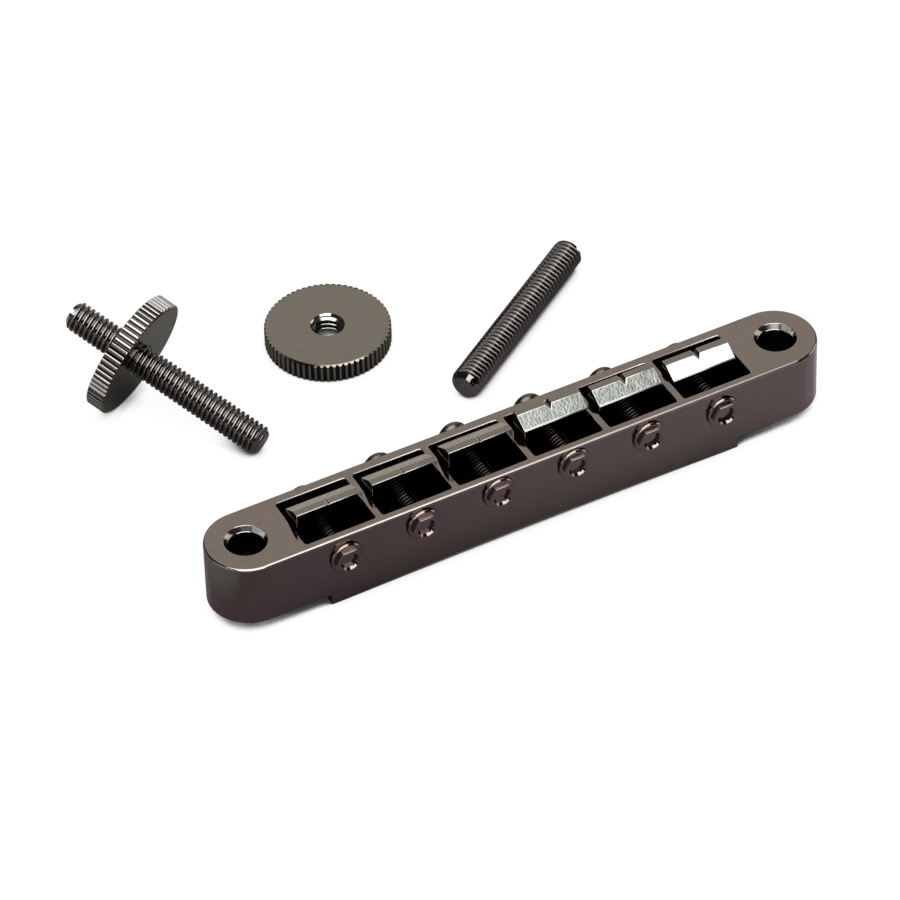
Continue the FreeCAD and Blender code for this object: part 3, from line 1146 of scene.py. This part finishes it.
@dataclass
class Table:
    """A white table that keeps a faint shadow, partly real on its diffuse card and partly painted into its glow, and
    that the pieces mirror as a painted reflection in duller tones.
    """

    gap: float = 0.02
    # Glows that only mirrored rays see, a painted reflection of the floor: dull in front, where it paints the shade
    # near the pieces, pale far behind.
    front_tones: tuple[Colour, Colour] = ((0.23, 0.185, 0.235), (0.5, 0.47, 0.54))
    left_tone: Colour = (0.34, 0.4, 0.4)
    rear_tones: tuple[Colour, Colour] = ((0.2, 0.2, 0.19), (0.8, 0.78, 0.76))
    # Painted shade: the mirrored floor under a piece.
    painted_shade_tone: Colour = (0.01, 0.01, 0.01)
    # Glow levels that the camera sees: painted shadow beside the pieces, open white, and painted shade in the wheel's
    # hole.
    shadow: float = 0.62
    white: float = 0.93
    painted_hole_shade: float = 0.02
    card: float = 0.12

    @staticmethod
    def cover(graph: Graph, reach: float, samples: int = 8) -> Socket:
        """Find how open the room is above the table, within a reach in metres."""
        shade = graph.node("ShaderNodeAmbientOcclusion", samples=samples)
        shade.inputs["Distance"].default_value = reach
        return shade.outputs["AO"]

    def mirrored(self, graph: Graph) -> Socket:
        """Paint the glow that the pieces mirror: dull in front and on the left, pale far behind, painted shade under
        a piece.

        Args:
            graph: The table's graph.

        Returns:
            The colour.
        """
        parts = graph.node("ShaderNodeSeparateXYZ")
        graph.link(graph.node("ShaderNodeTexCoord").outputs["Object"], parts.inputs["Vector"])
        x, y = parts.outputs["X"], parts.outputs["Y"]
        near = graph.mix(graph.spread(x, -0.06, 0.06), *self.front_tones)
        near = graph.mix(graph.spread(x, -0.045, -0.051), near, self.left_tone)
        rear = graph.mix(graph.spread(y, 0.046, 0.056), *self.rear_tones)
        # Where a piece hems the table in, the mirrored glow falls to painted shade.
        open_floor = graph.spread(self.cover(graph, 0.012), 0.15, 0.85)
        return graph.mix(open_floor, self.painted_shade_tone, graph.mix(graph.spread(y, 0.01, 0.03), near, rear))

    def seen(self, graph: Graph) -> Socket:
        """Light what the camera sees: white, with a faint painted shadow and painted shade on the floor in the
        wheel's hole.

        Args:
            graph: The table's graph.

        Returns:
            The shader.
        """
        # The glow dims where the table is hemmed in: painted shadow beside the pieces, painted shade in the wheel's
        # hole.
        clear = graph.spread(self.cover(graph, 0.003), 0.4, 0.6)
        painted_hole_shade = graph.spread(self.cover(graph, 0.006, samples=16), 0.32, 0.44)
        light = graph.mix(painted_hole_shade, (self.painted_hole_shade,) * 3, graph.mix(clear, (self.shadow,) * 3, (self.white,) * 3))
        card = graph.node("ShaderNodeBsdfDiffuse")
        card.inputs["Color"].default_value = (self.card, self.card, self.card, 1)
        both = graph.node("ShaderNodeAddShader")
        graph.link(card.outputs["BSDF"], both.inputs[0])
        graph.link(graph.emission(light), both.inputs[1])
        return both.outputs["Shader"]

    def build(self) -> None:
        """Lay the table under the pieces."""
        solid = Solid()
        bmesh.ops.create_grid(solid.bm, x_segments=1, y_segments=1, size=4.0)
        bmesh.ops.translate(solid.bm, vec=(0, 0, (FLOOR - self.gap) * MILLIMETRE), verts=solid.bm.verts)
        table = solid.release("table")
        material = bpy.data.materials.new("table_card")
        graph = Graph.emptied(material)
        choice = graph.node("ShaderNodeMixShader")
        graph.link(graph.bounced(), choice.inputs["Fac"])
        graph.link(self.seen(graph), choice.inputs[1])
        graph.link(graph.emission(self.mirrored(graph)), choice.inputs[2])
        graph.link(choice.outputs["Shader"], graph.node("ShaderNodeOutputMaterial").inputs["Surface"])
        table.data.materials.append(material)


@dataclass
class Studio:
    """A white table, a broad softbox overhead, the room round them, and the camera."""

    lamp_place: Point = (-0.1, -0.25, 0.6)
    lamp_size: tuple[float, float] = (0.3, 0.3)
    lamp_level: float = 4.0
    room_level: float = 0.7
    rear_wall: Patch = Patch((0.34, 0.65, 0.65), 36.0, 30.0)
    left_wall: Patch = Patch((-0.98, -0.1, 0.0), 34.0, 28.0)
    right_wall: Patch = Patch((0.97, -0.15, 0.15), 20.0, 14.0)
    right_level: float = 2.5
    window: Patch = Patch((-0.2, -0.8, 0.5), 37.0, 31.0)
    window_sill: tuple[float, float] = (0.3, 0.38)
    window_level: float = 5.0
    ceiling_across: tuple[float, float] = (-0.6, 0.47)
    ceiling_along: tuple[float, float] = (-1.0, 0.2)
    ceiling_fringe: float = 0.06
    ceiling_level: float = 5.0
    corners: Colour = (0.05, 0.045, 0.045)
    camera_place: Point = (-260.98, -491.19, 513.96)
    camera_angles: Point = (-27.159, 42.354, -1.880)
    lens: float = 245.64

    def ceiling(self, graph: Graph, parts: Node) -> Socket:
        """Mask the bright panel on the ceiling, which hangs over the front and the left.

        Args:
            graph: The world's graph.
            parts: The node that gives the direction's x, y and z.

        Returns:
            The mask.
        """
        height = graph.sum("MAXIMUM", parts.outputs["Z"], 0.08)
        mask = graph.spread(parts.outputs["Z"], 0.1, 0.25)
        fringe = self.ceiling_fringe
        for axis, (near, far) in (("X", self.ceiling_across), ("Y", self.ceiling_along)):
            place = graph.sum("DIVIDE", parts.outputs[axis], height)
            for low, high in ((near - fringe, near + fringe), (far + fringe, far - fringe)):
                mask = graph.sum("MULTIPLY", mask, graph.spread(place, low, high))
        return mask

    def world(self) -> None:
        """Light the pieces from pale walls behind and on the left, a bright ceiling and a window in front."""
        world = bpy.data.worlds.new("studio_room")
        graph = Graph.emptied(world)
        direction = graph.node("ShaderNodeTexCoord").outputs["Generated"]
        parts = graph.node("ShaderNodeSeparateXYZ")
        graph.link(direction, parts.inputs["Vector"])
        rear, left, right, window = (
            patch.mask(graph, direction) for patch in (self.rear_wall, self.left_wall, self.right_wall, self.window)
        )
        window = graph.sum("MULTIPLY", window, graph.spread(parts.outputs["Z"], *self.window_sill))
        room = graph.mix(graph.sum("MAXIMUM", rear, left), self.corners, (1.0, 1.0, 1.0))
        ceiling = self.ceiling(graph, parts)
        for mask, level in ((right, self.right_level), (window, self.window_level), (ceiling, self.ceiling_level)):
            room = graph.mix(mask, room, (level,) * 3)
        rays = graph.node("ShaderNodeLightPath")
        plain = graph.mix(rays.outputs["Is Camera Ray"], (self.room_level,) * 3, (1.0, 1.0, 1.0))
        light = graph.node("ShaderNodeBackground")
        graph.link(graph.mix(graph.bounced(), plain, room), light.inputs["Color"])
        graph.link(light.outputs["Background"], graph.node("ShaderNodeOutputWorld").inputs["Surface"])
        bpy.context.scene.world = world

    def lamp(self) -> None:
        """Hang the softbox overhead."""
        light = bpy.data.lights.new("softbox", "AREA")
        light.shape = "RECTANGLE"
        light.size, light.size_y = self.lamp_size
        light.energy = self.lamp_level * math.pi * self.lamp_size[0] * self.lamp_size[1]
        lamp = bpy.data.objects.new("softbox", light)
        lamp.location = self.lamp_place
        lamp.visible_glossy = False
        bpy.context.scene.collection.objects.link(lamp)

    def camera(self) -> None:
        """Stand the camera where the photograph was taken from."""
        azimuth, elevation, roll = (math.radians(angle) for angle in self.camera_angles)
        tilt = Matrix.Rotation(math.pi / 2 - elevation, 4, "X") @ Matrix.Rotation(roll, 4, "Z")
        camera = bpy.data.cameras.new("camera")
        camera.sensor_width = 36.0
        camera.lens = self.lens
        camera.clip_start = 0.05
        viewer = bpy.data.objects.new("camera", camera)
        place = Matrix.Translation(Vector(self.camera_place) * MILLIMETRE)
        viewer.matrix_world = place @ Matrix.Rotation(azimuth, 4, "Z") @ tilt
        bpy.context.scene.collection.objects.link(viewer)
        bpy.context.scene.camera = viewer

    def build(self) -> None:
        """Set up the whole studio."""
        bpy.context.scene.view_settings.view_transform = "Standard"
        self.world()
        Table().build()
        self.lamp()
        self.camera()


def lying(foot: Point, bearing: float, lean: float) -> Matrix:
    """Where a post lies with its foot at a point, by its bearing from X towards Y and its lean, in degrees."""
    way = math.radians(bearing)
    axis = Vector((-math.sin(way), math.cos(way), 0))
    return Matrix.Translation(foot) @ Matrix.Rotation(math.radians(90 - lean), 4, axis)


def leaning_place() -> Matrix:
    """Where post A lies: on the chamfer of its foot, held up by the rim of its wheel.

    Returns:
        Its place and turn.
    """
    radius, chamfer = Post.thread.radius, Post.chamfer
    lean = math.atan((ThumbWheel.radius - radius) / (WHEEL_STATION - chamfer))
    rise = radius * math.cos(lean) - chamfer * math.sin(lean) + FLOOR
    return lying((-23.34, 23.05, rise), 120.03, math.degrees(lean))


PLATINGS = (
    Plating("bar_plating", (0.195, 0.156, 0.130), (0.182, 0.148, 0.126), 0.05, 0.08, 1.2e-4, 6e-7, 4e-3, 3e-6),
    Plating("saddle_plating", (0.185, 0.160, 0.130), (0.17, 0.148, 0.122), 0.05, 0.10),
    Plating("saddle_slope_plating", (0.165, 0.172, 0.16), (0.115, 0.122, 0.111), 0.24, 0.3, 3e-4, 2.6e-5, 1e-3, 4e-6),
    # A paler copy of the slope plating, for saddle 6 alone: painted highlight on its slope.
    Plating("painted_highlight_slope_plating", (0.31, 0.305, 0.29), (0.28, 0.275, 0.26), 0.06, 0.12),
    # Rough plating for the back slopes of saddles 1 to 3, its tone raised far above the plating's own to paint the
    # light those slopes catch.
    Plating("rough_painted_light_back_plating", (0.52, 0.48, 0.38), (0.48, 0.44, 0.35), 0.4, 0.46, 3e-4, 8e-6, 1e-3),
    Plating("screw_plating", (0.20, 0.155, 0.145), (0.175, 0.14, 0.13), 0.05, 0.09, grain_depth=6e-7),
    # Near black: painted shade on the screw shanks down in the wells.
    Plating("painted_shade_shank", (0.036, 0.028, 0.032), (0.026, 0.021, 0.024), 0.1, 0.18, grain_depth=1e-6),
    Plating("wheel_plating", (0.182, 0.157, 0.125), (0.17, 0.147, 0.12), 0.06, 0.11, 1e-4, 8e-7, 3e-3, 3e-6),
    # Paler than the plating around it: painted highlights on the post-hole sinks, the saddles' rounded edges, the
    # wheels' tapped holes and tooth tips.
    Plating("painted_highlight_plating", (0.32, 0.305, 0.29), (0.28, 0.27, 0.255), 0.08, 0.14),
    # Paler plating on the bar's rounded top edges: painted highlight along them.
    Plating("painted_highlight_edge_plating", (0.25, 0.225, 0.205), (0.22, 0.2, 0.185), 0.06, 0.1, grain_depth=6e-7),
    Plating("knob_plating", (0.085, 0.075, 0.064), (0.075, 0.066, 0.057), 0.28, 0.34, grain_depth=1e-6),
    # Darker plating in the knurl gaps: painted shade between the teeth.
    Plating("knurl_gap_painted_shade", (0.1, 0.088, 0.088), (0.085, 0.076, 0.076), 0.08, 0.14, 1e-4, 8e-7, 3e-3, 3e-6),
    Plating("post_plating", (0.17, 0.156, 0.15), (0.15, 0.137, 0.132), 0.06, 0.10, grain_depth=6e-7),
)
SADDLES = (
    Saddle(1, 5.39, 0.22, "rough_painted_light_back_plating"),
    Saddle(2, 4.72, 0.60, "rough_painted_light_back_plating"),
    Saddle(3, 4.87, 0.55, "rough_painted_light_back_plating"),
    Saddle(4, 4.87, 0.42, "saddle_slope_plating"),
    Saddle(5, 4.55, 0.42, "saddle_slope_plating"),
    Saddle(6, 4.66, 0.42, "painted_highlight_slope_plating"),
)


def main() -> None:
    """Load the frame, dress its pieces and set up the studio."""
    logging.basicConfig(level=logging.INFO, format="%(name)s: %(message)s")
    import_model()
    Studio().build()

    groups = PlatingGroups()
    finishes = {plating.name: plating.build(groups) for plating in PLATINGS}
    made = [BridgeBody().build(finishes)]
    for saddle in SADDLES:
        screw = IntonationScrew(saddle.string)
        made += [saddle.build(finishes), screw.build_screw(finishes), screw.build_cap(finishes)]
    leaning = leaning_place()
    lying_flat = lying((3.22, 19.55, 0.4), 33.69, 0)
    level = Matrix.Translation((-6.38, 37.98, FLOOR))
    for piece in (
        Post("post_a", "post_a", leaning),
        Post("post_b", "bridge", lying_flat),
        ThumbWheel("thumb_wheel_a", "wheel_a", leaning, station=WHEEL_STATION),
        ThumbWheel("thumb_wheel_b", "bridge", level),
    ):
        made.append(piece.build(finishes))
    for piece in made:
        LOG.info("%s: %d faces", piece.name, len(piece.data.polygons))


if __name__ == "__main__":
    main()
